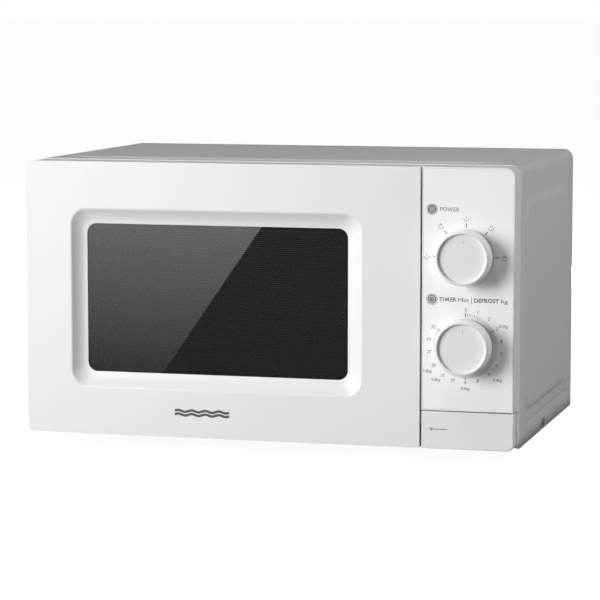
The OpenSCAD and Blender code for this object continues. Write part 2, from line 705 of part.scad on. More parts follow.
module timer_bell() color("#c8cacb") translate([dial_x, back(50.1), up(timer_up) + 4]) rotate([-90, 0, 0]) {
    rotate_extrude() difference() {
        translate([0, -10]) circle(26);
        translate([0, -10]) circle(25);
        translate([-30, -50]) square([60, 54]);
        translate([-30, -50]) square([30, 80]);
    }
    cylinder(r = 3, h = 16.5);
}

// ---- Door ----

// Outline of the door, drawn in by the inset.
module door_outline(inset) {
    r = [low_r, 1, 1, top_r];
    round_rect(left_x + inset, up(0) + inset, door_x1 - inset, up(front_h) - inset,
        [for (v = r) max(v - inset, 0)]);
}

// Outline of the window recess, whose corners tighten as it is drawn in.
function window_r(inset) = recess_r - inset * 0.45;
module window(inset) {
    round_rect(window_x0 + inset, window_z0 + inset, window_x1 - inset, window_z1 - inset,
        window_r(inset) * [1, 1, 1, 1]);
}

// One ring of the window's rounded outline, drawn in by the inset at depth d.
function window_ring(inset, d) =
    let (r = window_r(inset), x0 = window_x0 + inset + r, x1 = window_x1 - inset - r,
        z0 = window_z0 + inset + r, z1 = window_z1 - inset - r,
        centres = [[x1, z1], [x0, z1], [x0, z0], [x1, z0]])
    [for (c = [0:3], k = [0:8]) let (a = 90 * c + 11.25 * k)
        [centres[c][0] + r * cos(a), back(d), centres[c][1] + r * sin(a)]];

// Window cut: a cove that starts steep at the front face, a narrow flat lip, then straight through.
module window_cut() {
    cove_w = band_w - 1;
    cove_d = 6.1;
    loft(concat([window_ring(0, -1)],
        [for (k = [0:10]) window_ring(cove_w * k / 10, cove_d * (1 - pow(1 - k / 10, 1.6)))],
        [window_ring(band_w, cove_d + 0.2), window_ring(band_w, 8.4)]));
}

module door_frame() color(white) difference() {
    union() {
        difference() {
            in_xz(back(0), back(door_d)) door_outline(0);
            in_xz(back(3), back(door_d + 1)) door_outline(wall);
        }
        in_xz(back(1), lip_y) window(-2.5);
        for (h = hinge_arms) {
            near = h[0] + h[1] * 1.5;
            far = h[0] + h[1] * 18;
            rod_z(hinge[0], hinge[1], min(near, far), max(near, far), 6);
            span([left_x + 1, back(2), min(near, far)], [hinge[0] + 6, hinge[1], max(near, far)]);
        }
        rod_y((hook_x[0] + hook_x[1]) / 2, 43, back(2), back(17), 2.5);
        span([hook_x[0] - 1.5, back(16), 42.8], [hook_x[1] + 1.5, back(23.5), 44.8]);
    }
    window_cut();
    for (h = hinge_arms) {
        far = h[0] + h[1] * 19;
        rod_z(hinge[0], hinge[1], min(h[0], far), max(h[0], far), pin_r + 0.05);
        span([left_x - 1, back(7), h[0] - 1.5], [left_x + wall + 0.1, back(door_d + 1), h[0] + 1.5]);
    }
}

module door_glass() color([0.05, 0.05, 0.06, 0.7]) in_xz(lip_y + 0.05, lip_y + 3.25) window(band_w - 2.2);

module door_screen() color("#2b2c2e") in_xz(back(11.2), back(11.7)) window(band_w - 8);

module door_pan() color(cream) {
    x0 = left_x + 30;
    x1 = door_x1 - 28;
    z0 = up(14);
    z1 = up(front_h - 14);
    difference() {
        in_xz(back(11.8), back(25)) round_rect(x0, z0, x1, z1, [6, 6, 6, 6]);
        in_xz(back(12.6), back(26)) round_rect(x0 + 0.8, z0 + 0.8, x1 - 0.8, z1 - 0.8, [5.2, 5.2, 5.2, 5.2]);
        in_xz(back(11), back(13)) window(band_w - 2);
    }
}

module inner_film() color([0.8, 0.85, 0.85, 0.4]) in_xz(back(12.7), back(13)) window(band_w - 7);

module choke_cover() color("#8f9192") difference() {
    union() {
        in_xz(back(19), back(24.6)) difference() {
            door_outline(wall + 0.2);
            door_outline(wall + 2);
        }
        in_xz(back(24.4), back(28)) difference() {
            door_outline(4.5);
            door_outline(6.5);
        }
        in_xz(back(24.4), back(24.7)) difference() {
            door_outline(wall + 0.2);
            door_outline(6.5);
        }
        in_xz(back(25.4), back(28)) difference() {
            door_outline(4.5);
            window(-2);
        }
        in_xz(back(13.2), back(28)) difference() {
            window(-3.8);
            window(-2);
        }
    }
    for (z = hook_z) span([hook_x[0] - 1, back(18), z - 6], [hook_x[1] + 1, back(29), z + 7]);
    for (h = hinge_arms) span([left_x - 1, back(10), h[0] - 2.5], [left_x + 28, back(29), h[0] + 2.5]);
}

outer_cabinet();
base_plate();
rear_panel();
rear_spacers();
feet();
cabinet_screws();
front_frame();
cavity_box();
waveguide();
waveguide_cover();
magnetron_yoke();
magnetron_magnets();
magnetron_fins();
magnetron_tube();
transformer_core();
transformer_coils();
capacitor();
capacitor_clamp();
diode();
fan_shroud();
fan_motor();
fan_blade();
air_guide();
turntable_motor();
drive_coupler();
turntable_plate();
roller_ring();
roller_1();
roller_2();
roller_3();
lamp_socket();
lamp_bulb();
thermal_cutouts();
filter_board();
cord_gland();
door_hinges();
interlock_bracket();
door_switches();
switch_plungers();
release_lever();
control_panel();
panel_overlay();
release_button();
button_spring();
power_selector();
power_shaft();
power_knob();
timer_unit();
timer_bell();
timer_shaft();
timer_knob();
door_frame();
door_glass();
door_screen();
door_pan();
choke_cover();
inner_film();
latch_hooks();
latch_spring();
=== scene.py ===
import json
import math
import bpy
import bmesh
from mathutils import Matrix, Vector


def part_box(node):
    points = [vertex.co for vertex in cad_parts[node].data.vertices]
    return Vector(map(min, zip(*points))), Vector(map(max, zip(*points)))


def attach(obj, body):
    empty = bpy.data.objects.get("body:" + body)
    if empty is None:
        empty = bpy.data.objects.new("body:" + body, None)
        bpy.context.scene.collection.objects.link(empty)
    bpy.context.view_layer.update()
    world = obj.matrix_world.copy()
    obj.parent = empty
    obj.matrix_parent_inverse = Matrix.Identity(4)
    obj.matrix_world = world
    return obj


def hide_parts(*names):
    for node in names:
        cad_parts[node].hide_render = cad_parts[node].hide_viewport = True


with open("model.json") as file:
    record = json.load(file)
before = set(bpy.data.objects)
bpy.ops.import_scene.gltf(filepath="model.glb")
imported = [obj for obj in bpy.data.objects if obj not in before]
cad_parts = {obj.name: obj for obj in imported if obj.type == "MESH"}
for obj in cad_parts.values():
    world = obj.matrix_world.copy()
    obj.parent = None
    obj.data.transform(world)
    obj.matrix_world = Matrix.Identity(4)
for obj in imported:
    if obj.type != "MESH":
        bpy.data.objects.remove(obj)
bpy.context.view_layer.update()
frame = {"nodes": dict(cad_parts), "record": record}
nodes = frame["nodes"]
mm = 0.001
doorLow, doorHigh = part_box("door_frame")
panelLow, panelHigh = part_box("control_panel")
buttonLow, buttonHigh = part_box("release_button")
faceY = doorLow.y  # front face of the door and panel
baseZ = doorLow.z  # lower edge of the front
print("frame loaded,", len(nodes), "nodes")

# Camera, lights, floor.

view = {"place": (0.634, -2.3666, 0.3917), "yaw": 15.174, "pitch": 6.285, "lens": 160.4}
studio = {
    "keyPlace": (-2.35, -2.45, 0.95), "keySize": 2.1, "keyPower": 116.0,
    "sidePlace": (1.85, 0.14, 1.25), "sideSize": 0.4, "sidePower": 16.5,
    "topPlace": (-0.2, -0.75, 2.0), "topSize": 0.5, "topPower": 5.5,
    "backPlace": (0, 1.65, 0.16), "backSize": 0.16, "backPower": 7.0,
    "ambient": 0.1, "floorSize": 60.0, "floorTone": 0.4, "floorGlow": 0.93,
}


def aim(obj, place, target):
    obj.location = place
    obj.rotation_euler = (Vector(target) - Vector(place)).to_track_quat("-Z", "Y").to_euler()


def makeCamera():
    data = bpy.data.cameras.new("viewCamera")
    data.lens = view["lens"]
    data.sensor_width = 36
    data.clip_start, data.clip_end = 0.05, 120
    camera = bpy.data.objects.new("viewCamera", data)
    bpy.context.scene.collection.objects.link(camera)
    camera.location = view["place"]
    camera.rotation_euler = (math.radians(90 - view["pitch"]), 0, math.radians(view["yaw"]))
    bpy.context.scene.camera = camera


def softBox(name, place, size, power, target=(0, 0, 0.13)):
    data = bpy.data.lights.new(name, "AREA")
    data.shape = "DISK"
    data.size = size
    data.energy = power
    lamp = bpy.data.objects.new(name, data)
    bpy.context.scene.collection.objects.link(lamp)
    aim(lamp, place, target)


def stageObject(name, corners, material):
    mesh = bpy.data.meshes.new(name)
    mesh.from_pydata(corners, [], [list(range(len(corners)))])
    mesh.materials.append(material)
    obj = bpy.data.objects.new(name, mesh)
    bpy.context.scene.collection.objects.link(obj)
    return obj


def makeFloor():
    material = bpy.data.materials.new("studioFloor")
    material.use_nodes = True
    tree, links = material.node_tree.nodes, material.node_tree.links
    bsdf = tree["Principled BSDF"]
    bsdf.inputs["Base Color"].default_value = (studio["floorTone"],) * 3 + (1,)
    bsdf.inputs["Roughness"].default_value = 0.9
    bsdf.inputs["Specular IOR Level"].default_value = 0.0
    path = tree.new("ShaderNodeLightPath")
    glow = tree.new("ShaderNodeEmission")
    glow.inputs["Strength"].default_value = studio["floorGlow"]
    onlySeen = tree.new("ShaderNodeMixShader")
    both = tree.new("ShaderNodeAddShader")
    dark = tree.new("ShaderNodeEmission")
    dark.inputs["Strength"].default_value = 0
    links.new(path.outputs["Is Camera Ray"], onlySeen.inputs[0])
    links.new(dark.outputs[0], onlySeen.inputs[1])
    links.new(glow.outputs[0], onlySeen.inputs[2])
    links.new(bsdf.outputs[0], both.inputs[0])
    links.new(onlySeen.outputs[0], both.inputs[1])
    links.new(both.outputs[0], tree["Material Output"].inputs["Surface"])
    size = studio["floorSize"]
    ring = [(size * math.cos(a * math.pi / 32), size * math.sin(a * math.pi / 32), 0) for a in range(64)]
    floor = stageObject("studioFloor", ring, material)
    floor.visible_glossy = False


def makeWorld():
    world = bpy.data.worlds.new("studioAir")
    bpy.context.scene.world = world
    world.use_nodes = True
    tree, links = world.node_tree.nodes, world.node_tree.links
    path = tree.new("ShaderNodeLightPath")
    light, seen = tree["Background"], tree.new("ShaderNodeBackground")
    light.inputs["Color"].default_value = (1, 1, 1, 1)
    light.inputs["Strength"].default_value = studio["ambient"]
    seen.inputs["Color"].default_value = (1, 1, 1, 1)
    pick = tree.new("ShaderNodeMixShader")
    links.new(path.outputs["Is Camera Ray"], pick.inputs[0])
    links.new(light.outputs[0], pick.inputs[1])
    links.new(seen.outputs[0], pick.inputs[2])
    links.new(pick.outputs[0], tree["World Output"].inputs["Surface"])


# Two cards left of the camera that only the gloss sees: their slanting edge is the streak on the door glass.
cards = {"y": -0.75, "edgeTop": (-0.0742, 0.30), "edgeLow": (-0.3865, -0.15), "left": -0.62, "right": 0.12,
         "glowTop": 2.85, "glowLow": 0.64, "shade": 0.28}


def makeCards():
    y = cards["y"]
    (topX, topZ), (lowX, lowZ) = cards["edgeTop"], cards["edgeLow"]
    shapes = {
        "reflectorCard": [(cards["left"], y, lowZ), (lowX, y, lowZ), (topX, y, topZ), (cards["left"], y, topZ)],
        "darkCard": [(lowX, y, lowZ), (cards["right"], y, lowZ), (cards["right"], y, topZ), (topX, y, topZ)],
    }
    for name, corners in shapes.items():
        material = bpy.data.materials.new(name)
        material.use_nodes = True
        tree, links = material.node_tree.nodes, material.node_tree.links
        tree.remove(tree["Principled BSDF"])
        glow = tree.new("ShaderNodeEmission")
        links.new(glow.outputs[0], tree["Material Output"].inputs["Surface"])
        glow.inputs["Strength"].default_value = cards["shade"]
        if name == "reflectorCard":
            coords, split, ramp = (tree.new(n) for n in
                                   ("ShaderNodeTexCoord", "ShaderNodeSeparateXYZ", "ShaderNodeMapRange"))
            links.new(coords.outputs["Object"], split.inputs[0])
            links.new(split.outputs["Z"], ramp.inputs["Value"])
            for socket, value in (("From Min", -0.02), ("From Max", 0.15), ("To Min", cards["glowLow"]),
                                  ("To Max", cards["glowTop"])):
                ramp.inputs[socket].default_value = value
            links.new(ramp.outputs[0], glow.inputs["Strength"])
        card = stageObject(name, corners, material)
        card.visible_camera = card.visible_diffuse = card.visible_shadow = False
        card.visible_transmission = card.visible_volume_scatter = False


makeCamera()
makeWorld()
makeFloor()
softBox("keyLight", studio["keyPlace"], studio["keySize"], studio["keyPower"])
softBox("sideLight", studio["sidePlace"], studio["sideSize"], studio["sidePower"])
softBox("topLight", studio["topPlace"], studio["topSize"], studio["topPower"])
softBox("backLight", studio["backPlace"], studio["backSize"], studio["backPower"])
makeCards()
bpy.context.scene.view_settings.view_transform = "Standard"
print("camera, lights and floor ready")

# Finishes.


def makeGroup(name, inputs, outputs):
    group = bpy.data.node_groups.new(name, "ShaderNodeTree")
    for label, kind, value in inputs:
        socket = group.interface.new_socket(label, in_out="INPUT", socket_type=kind)
        if value is not None:
            socket.default_value = value
    for label, kind in outputs:
        group.interface.new_socket(label, in_out="OUTPUT", socket_type=kind)
    return group, group.nodes.new("NodeGroupInput"), group.nodes.new("NodeGroupOutput")


def scaledColour(group, colour, factor):
    scale = group.nodes.new("ShaderNodeVectorMath")
    scale.operation = "SCALE"
    group.links.new(colour, scale.inputs[0])
    group.links.new(factor, scale.inputs["Scale"])
    return scale.outputs[0]


def spreadAround(group, value, middle, spread):
    centred = group.nodes.new("ShaderNodeMath")
    centred.operation = "SUBTRACT"
    centred.inputs[1].default_value = 0.5
    around = group.nodes.new("ShaderNodeMath")
    around.operation = "MULTIPLY_ADD"
    group.links.new(value, centred.inputs[0])
    group.links.new(centred.outputs[0], around.inputs[0])
    group.links.new(spread, around.inputs[1])
    if isinstance(middle, float):
        around.inputs[2].default_value = middle
    else:
        group.links.new(middle, around.inputs[2])
    return around.outputs[0]


def noise(group, vector, scale, detail):
    texture = group.nodes.new("ShaderNodeTexNoise")
    texture.inputs["Detail"].default_value = detail
    group.links.new(vector, texture.inputs["Vector"])
    if isinstance(scale, float):
        texture.inputs["Scale"].default_value = scale
    else:
        group.links.new(scale, texture.inputs["Scale"])
    return texture.outputs["Fac"]


# Moulded or painted skin: a fine grain for the height, slow drift in tone, and flecks.
def makeSkinGroup():
    group, given, result = makeGroup("mouldedSkin", [
        ("Vector", "NodeSocketVector", None), ("Color", "NodeSocketColor", (0.8, 0.8, 0.8, 1)),
        ("Drift", "NodeSocketFloat", 0.03), ("Grain Scale", "NodeSocketFloat", 1200.0),
        ("Roughness", "NodeSocketFloat", 0.4), ("Roughness Spread", "NodeSocketFloat", 0.1),
        ("Fleck", "NodeSocketFloat", 0.0)],
        [("Color", "NodeSocketColor"), ("Roughness", "NodeSocketFloat"), ("Height", "NodeSocketFloat")])
    g = given.outputs
    fine = noise(group, g["Vector"], g["Grain Scale"], 2.0)
    slow = noise(group, g["Vector"], 11.0, 2.0)
    tone = spreadAround(group, slow, 1.0, g["Drift"])
    fleck = spreadAround(group, fine, tone, g["Fleck"])
    group.links.new(scaledColour(group, g["Color"], fleck), result.inputs["Color"])
    rough = spreadAround(group, fine, g["Roughness"], g["Roughness Spread"])
    group.links.new(rough, result.inputs["Roughness"])
    group.links.new(fine, result.inputs["Height"])
    return group


# Rolled or drawn metal: grain stretched along one direction, with blotches of plating.
def makeMetalGroup():
    group, given, result = makeGroup("drawnMetal", [
        ("Vector", "NodeSocketVector", None), ("Color", "NodeSocketColor", (0.6, 0.6, 0.6, 1)),
        ("Stretch", "NodeSocketVector", (1, 1, 1)), ("Grain Scale", "NodeSocketFloat", 400.0),
        ("Roughness", "NodeSocketFloat", 0.35), ("Roughness Spread", "NodeSocketFloat", 0.2),
        ("Drift", "NodeSocketFloat", 0.15)],
        [("Color", "NodeSocketColor"), ("Roughness", "NodeSocketFloat"), ("Height", "NodeSocketFloat")])
    g = given.outputs
    drawn = group.nodes.new("ShaderNodeVectorMath")
    drawn.operation = "MULTIPLY"
    group.links.new(g["Vector"], drawn.inputs[0])
    group.links.new(g["Stretch"], drawn.inputs[1])
    fine = noise(group, drawn.outputs[0], g["Grain Scale"], 3.0)
    slow = noise(group, g["Vector"], 45.0, 4.0)
    tone = spreadAround(group, slow, 1.0, g["Drift"])
    group.links.new(scaledColour(group, g["Color"], tone), result.inputs["Color"])
    rough = spreadAround(group, fine, g["Roughness"], g["Roughness Spread"])
    group.links.new(rough, result.inputs["Roughness"])
    group.links.new(fine, result.inputs["Height"])
    return group


skinGroup, metalGroup = makeSkinGroup(), makeMetalGroup()


def makeFinish(name, group, colour, settings, plain, bump):
    material = bpy.data.materials.new(name)
    material.use_nodes = True
    tree, links = material.node_tree.nodes, material.node_tree.links
    bsdf = tree["Principled BSDF"]
    coords = tree.new("ShaderNodeTexCoord")
    pattern = tree.new("ShaderNodeGroup")
    pattern.node_tree = group
    links.new(coords.outputs["Object"], pattern.inputs["Vector"])
    pattern.inputs["Color"].default_value = (*colour, 1)
    for socket, value in settings.items():
        pattern.inputs[socket].default_value = value
    relief = tree.new("ShaderNodeBump")
    relief.inputs["Strength"].default_value = bump[0]
    relief.inputs["Distance"].default_value = bump[1]
    links.new(pattern.outputs["Height"], relief.inputs["Height"])
    links.new(relief.outputs[0], bsdf.inputs["Normal"])
    links.new(pattern.outputs["Color"], bsdf.inputs["Base Color"])
    links.new(pattern.outputs["Roughness"], bsdf.inputs["Roughness"])
    for socket, value in plain.items():
        bsdf.inputs[socket].default_value = value
    return material


def skin(name, colour, roughness, grain=1200.0, drift=0.03, spread=0.08, fleck=0.0, bump=(0.12, 0.00005),
         **plain):
    return makeFinish(name, skinGroup, colour, {"Drift": drift, "Grain Scale": grain, "Roughness": roughness,
                                                "Roughness Spread": spread, "Fleck": fleck}, plain, bump)


def metal(name, colour, roughness, stretch=(1, 1, 1), grain=400.0, drift=0.12, spread=0.2, bump=(0.1, 0.00005)):
    settings = {"Stretch": stretch, "Grain Scale": grain, "Roughness": roughness, "Roughness Spread": spread,
                "Drift": drift}
    return makeFinish(name, metalGroup, colour, settings, {"Metallic": 1.0}, bump)


def glass(name, colour, roughness, ior):
    return makeFinish(name, skinGroup, colour, {"Drift": 0.02, "Grain Scale": 300.0, "Roughness": roughness,
                                                "Roughness Spread": 0.02, "Fleck": 0.0},
                      {"Transmission Weight": 1.0, "IOR": ior}, (0.01, 0.00001))


finishes = {
    "white_plastic": skin("whitePlastic", (0.88, 0.88, 0.875), 0.38, 1500.0, 0.012, 0.06),
    "panel_film": skin("panelFilm", (0.98, 0.98, 0.978), 0.46, 1900.0, 0.012, 0.06, bump=(0.1, 0.00004)),
    "cabinet_paint": skin("cabinetPaint", (0.68, 0.682, 0.685), 0.4, 1700.0, 0.03, 0.1, 0.16, (0.3, 0.00008)),
    "zinc_steel": metal("zincSteel", (0.62, 0.63, 0.64), 0.4, (1, 1, 0.08), 300.0),
    "screw_steel": metal("screwSteel", (0.58, 0.58, 0.57), 0.32, (1, 1, 1), 900.0),
    "spring_steel": metal("springSteel", (0.5, 0.5, 0.5), 0.3, (1, 1, 0.3), 900.0),
    "bell_steel": metal("bellSteel", (0.72, 0.72, 0.72), 0.12, (1, 1, 1), 500.0, 0.05, 0.06),
    "cavity_paint": skin("cavityPaint", (0.74, 0.74, 0.7), 0.3, 900.0, 0.03, 0.08, 0.06, (0.15, 0.00006)),
    "dark_plastic": skin("darkPlastic", (0.035, 0.035, 0.038), 0.5, 1300.0, 0.2, 0.15),
    "grey_plastic": skin("greyPlastic", (0.3, 0.305, 0.31), 0.45, 1300.0, 0.05, 0.1),
    "ivory_plastic": skin("ivoryPlastic", (0.7, 0.66, 0.55), 0.42, 1100.0, 0.05, 0.1),
    "red_plastic": skin("redPlastic", (0.5, 0.06, 0.04), 0.42, 1100.0, 0.05, 0.1),
    "foot_rubber": skin("footRubber", (0.025, 0.025, 0.025), 0.75, 1600.0, 0.2, 0.15, bump=(0.4, 0.0001)),
    "mica": skin("micaSheet", (0.58, 0.5, 0.36), 0.3, 260.0, 0.2, 0.3, 0.3, (0.2, 0.0001)),
    "ferrite": skin("ferrite", (0.045, 0.045, 0.05), 0.55, 700.0, 0.2, 0.2, 0.3, (0.5, 0.0001)),
    "core_iron": metal("coreIron", (0.3, 0.31, 0.33), 0.5, (1, 0.02, 1), 900.0, 0.3, 0.3, (0.5, 0.0002)),
    "copper": metal("enamelledCopper", (0.6, 0.27, 0.11), 0.3, (0.05, 0.05, 1), 900.0, 0.2, 0.2, (0.6, 0.0002)),
    "fin_aluminium": metal("finAluminium", (0.78, 0.79, 0.8), 0.3, (1, 0.1, 1), 400.0),
    "can_aluminium": metal("canAluminium", (0.66, 0.67, 0.68), 0.35, (1, 1, 0.1), 400.0),
    "clear_glass": glass("clearGlass", (0.93, 0.97, 0.96), 0.02, 1.5),
    "bulb_glass": glass("bulbGlass", (1.0, 0.98, 0.93), 0.05, 1.45),
    "tinted_glass": glass("tintedGlass", (0.3, 0.3, 0.31), 0.015, 1.52),
    "screen_paint": skin("screenPaint", (0.06, 0.06, 0.062), 0.45, 1500.0, 0.1, 0.1),
    "clear_film": glass("clearFilm", (0.85, 0.86, 0.86), 0.08, 1.3),
    "circuit_board": skin("circuitBoard", (0.08, 0.2, 0.07), 0.4, 220.0, 0.1, 0.15, 0.4),
}
printInk = skin("printInk", (0.085, 0.085, 0.09), 0.5, 2600.0, 0.05, 0.1, bump=(0.05, 0.00002))
# Grey of the fine print; the same material also paints the shade in the button's engraved arrow.
fineInkAndArrowShade = skin("fineInkAndArrowShade", (0.2, 0.2, 0.205), 0.5, 2600.0, 0.05, 0.1, bump=(0.05, 0.00002))
paperInk = skin("paperInk", (0.8, 0.8, 0.8), 0.5, 2600.0, 0.03, 0.1, bump=(0.05, 0.00002))
borderInk = skin("borderInk", (0.006, 0.006, 0.007), 0.3, 1800.0, 0.1, 0.08)

for part in frame["record"]["subparts"]:
    cadMesh = nodes[part["node"]].data
    cadMesh.materials.clear()
    cadMesh.materials.append(finishes[part["material_slot"]])

# Mesh helpers.


def addPiece(name, mesh, body, slotName=None, replaced=(), sharp=32):
    mesh.shade_smooth()
    mesh.set_sharp_from_angle(angle=math.radians(sharp))
    piece = bpy.data.objects.new(name, mesh)
    bpy.context.scene.collection.objects.link(piece)
    if not mesh.materials:
        mesh.materials.append(finishes[slotName])
    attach(piece, body)
    if replaced:
        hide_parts(*replaced)
    return piece


def meshFrom(bm, name):
    mesh = bpy.data.meshes.new(name)
    bm.to_mesh(mesh)
    bm.free()
    return mesh


# A copy of a CAD node with its chosen edges rounded.
def roundedCopy(node, passes):
    bm = bmesh.new()
    bm.from_mesh(nodes[node].data)
    bmesh.ops.remove_doubles(bm, verts=bm.verts, dist=0.000004)
    bmesh.ops.dissolve_limit(bm, angle_limit=math.radians(0.5), verts=bm.verts, edges=bm.edges)
    for radius, segments, chosen in passes:
        picked = [e for e in bm.edges if e.is_manifold and abs(e.calc_face_angle(0)) > 0.4 and chosen(e)]
        bmesh.ops.bevel(bm, geom=picked, offset=radius, segments=segments, profile=0.5, affect="EDGES",
                        clamp_overlap=True)
    return meshFrom(bm, node + "Rounded")


def flatNormals(piece):
    weighted = piece.modifiers.new("evenNormals", "WEIGHTED_NORMAL")
    weighted.mode = "FACE_AREA"
    weighted.keep_sharp = True
    return piece


# Surface through rings of points that share one count.
def ringSurface(bm, rings, closedRing=True, closedEnds=False):
    made = [[bm.verts.new(p) for p in ring] for ring in rings]
    pairs = list(zip(made, made[1:])) + ([(made[-1], made[0])] if closedEnds else [])
    for first, second in pairs:
        count = len(first)
        for i in range(count if closedRing else count - 1):
            j = (i + 1) % count
            face = {first[i], first[j], second[j], second[i]}
            if len(face) > 2:
                bm.faces.new([first[i], first[j], second[j], second[i]])
    return made


def roundedOutline(x0, z0, x1, z1, radius, steps=10):
    corners = [(x1 - radius, z1 - radius, 0), (x0 + radius, z1 - radius, 90),
               (x0 + radius, z0 + radius, 180), (x1 - radius, z0 + radius, 270)]
    return [(cx + radius * math.cos(math.radians(start + 90 * k / steps)),
             cz + radius * math.sin(math.radians(start + 90 * k / steps)))
            for cx, cz, start in corners for k in range(steps + 1)]


# Steel cabinet.

cabinet = {"cornerRadius": 9 * mm, "pressHeight": 2.6 * mm, "topPressHeight": 1.2 * mm, "hem": 1.4 * mm,
           "rearBend": 1.6 * mm, "lip": 12 * mm, "sheet": 0.8 * mm,
           "sidePress": (46, 268, 25.5, 214.8), "sideSlopes": (4.5, 8, 6, 9), "sideCorner": 24,
           "topPress": (45, 272), "topSlopes": (3, 8, 6, 6), "topInset": 20, "topCorner": 30,
           "grooveRise": 15.2, "grooveHalf": 2.6, "grooveDepth": 0.9, "groove": (58, 278)}


def softRamp(t, ease=0.16):
    t = min(max(t, 0), 1)
    if t < ease:
        return t * t / (2 * ease * (1 - ease))
    if t > 1 - ease:
        return 1 - (1 - t) ** 2 / (2 * ease * (1 - ease))
    return (t - ease / 2) / (1 - ease)


# Height of a pressed panel at (u, v): slopes of their own width on each side, meeting in round corners.
def pressRise(u, v, box, slopes, corner):
    u0, u1, v0, v1 = box
    midU, midV = (u0 + u1) / 2, (v0 + v1) / 2
    qu, qv = abs(u - midU) - (u1 - u0) / 2 + corner, abs(v - midV) - (v1 - v0) / 2 + corner
    if qu > 0 and qv > 0:
        length = math.hypot(qu, qv)
        inside, gu, gv = corner - length, qu / length, qv / length
    elif qu > qv:
        inside, gu, gv = corner - qu, 1, 0
    else:
        inside, gu, gv = corner - qv, 0, 1
    slopeU = slopes[0] if u < midU else slopes[1]
    slopeV = slopes[2] if v < midV else slopes[3]
    return softRamp(inside / math.hypot(gu * slopeU, gv * slopeV))


def stations(low, high, fine, step=1.6, coarse=14.0):
    places, at = [low], low
    while at < high - 0.4:
        near = any(a - 1 <= at <= b for a, b in fine)
        gap = step if near else coarse
        if not near:
            ahead = [a - 0.9 - at for a, b in fine if a - 0.9 > at + 0.2]
            gap = min([gap] + ahead)
        at = min(at + gap, high)
        places.append(at)
    places[-1] = high
    return places


def makeCabinet():
    low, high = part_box("outer_cabinet")
    s = cabinet
    halfW, top, bottom = high.x - s["pressHeight"], high.z - s["topPressHeight"], low.z
    radius = s["cornerRadius"]
    sideBox = s["sidePress"]
    topBox = (s["topPress"][0], s["topPress"][1], -(halfW / mm - s["topInset"]), halfW / mm - s["topInset"])
    corner = s["sideCorner"]
    ends = [(10, 19), (sideBox[2], sideBox[2] + corner), (sideBox[3] - corner, sideBox[3])]
    rises = [v * mm for v in stations((bottom - baseZ) / mm, (top - radius - baseZ) / mm, ends)]
    across = [v * mm for v in stations(-(halfW - radius) / mm, (halfW - radius) / mm,
                                       [(topBox[2], topBox[2] + 30), (topBox[3] - 30, topBox[3])], 2.0, 25.0)]
    depths = stations((low.y + s["hem"] - faceY) / mm, (high.y - s["rearBend"] - faceY) / mm,
                      [(44, 74), (sideBox[1] - corner, 273), (276, 281)], 1.6, 20.0)
    rows = [(low.y + s["hem"] * (1 - math.sin(t)), s["hem"] * (1 - math.cos(t)))
            for t in [math.pi - k * math.pi / 10 for k in range(10)]]
    rows += [(faceY + d * mm, 0) for d in depths]
    rows += [(high.y - s["rearBend"] * (1 - math.sin(t)), s["rearBend"] * (1 - math.cos(t)))
             for t in [k * math.pi / 10 for k in range(1, 6)]]
    rows += [(high.y, s["lip"])]

    def ring(y, inset):
        r = max(radius - inset, 0)
        depth = (y - faceY) / mm
        x, z = halfW - inset, top - inset

        def sideLift(rise):
            lift = s["pressHeight"] * pressRise(depth, rise / mm, sideBox, s["sideSlopes"], corner)
            off = abs(rise / mm - s["grooveRise"]) / s["grooveHalf"]
            ends = softRamp(min(depth - s["groove"][0], s["groove"][1] - depth) / 4)
            return lift - s["grooveDepth"] * mm * softRamp(1 - off) * ends if inset == 0 else 0

        points = [(-x - sideLift(v), y, baseZ + v) for v in rises]
        points += [(-x + r - r * math.cos(math.radians(a)), y, z - r + r * math.sin(math.radians(a)))
                   for a in range(9, 90, 9)]
        for v in across:
            lift = pressRise(depth, v / mm, topBox, s["topSlopes"], s["topCorner"]) if inset == 0 else 0
            points.append((max(min(v, x - r), r - x), y, z + s["topPressHeight"] * lift))
        points += [(x - r + r * math.cos(math.radians(a)), y, z - r + r * math.sin(math.radians(a)))
                   for a in range(81, 0, -9)]
        points += [(x + sideLift(v), y, baseZ + v) for v in reversed(rises)]
        return points

    bm = bmesh.new()
    ringSurface(bm, [ring(y, inset) for y, inset in rows], closedRing=False)
    bmesh.ops.remove_doubles(bm, verts=bm.verts, dist=0.00001)
    bmesh.ops.recalc_face_normals(bm, faces=bm.faces)
    roof = max(bm.faces, key=lambda f: f.calc_center_median().z)
    if roof.normal.z < 0:
        bmesh.ops.reverse_faces(bm, faces=bm.faces)
    mesh = meshFrom(bm, "steelCabinet")
    piece = addPiece("steelCabinet", mesh, "cabinet", "cabinet_paint", ["outer_cabinet"], 50)
    wall = piece.modifiers.new("sheet", "SOLIDIFY")
    wall.thickness = s["sheet"]
    wall.offset = -1
    return piece


makeCabinet()
print("cabinet pressed")

# Door and control column.

door = {"edge": 1.4 * mm, "recessEdge": 1.1 * mm, "gapEdge": 0.6 * mm}


def alongFront(e, y=faceY, slack=0.00005):
    return all(abs(v.co.y - y) < slack for v in e.verts)


def onOutline(e, low, high, reach=0.0095):
    return all(min(v.co.x - low.x, high.x - v.co.x, v.co.z - low.z, high.z - v.co.z) < reach for v in e.verts)


def middle(e):
    return (e.verts[0].co + e.verts[1].co) / 2


def makeDoorFrame():
    outer = lambda e: alongFront(e) and onOutline(e, doorLow, doorHigh) and middle(e).x < doorHigh.x - 0.0001
    gapSide = lambda e: alongFront(e) and middle(e).x > doorHigh.x - 0.0001
    recess = lambda e: alongFront(e) and not onOutline(e, doorLow, doorHigh, 0.03)
    mesh = roundedCopy("door_frame", [(door["edge"], 4, outer), (door["gapEdge"], 2, gapSide),
                                      (door["recessEdge"], 4, recess)])
    return flatNormals(addPiece("doorFrame", mesh, "door", "white_plastic", ["door_frame"], 40))


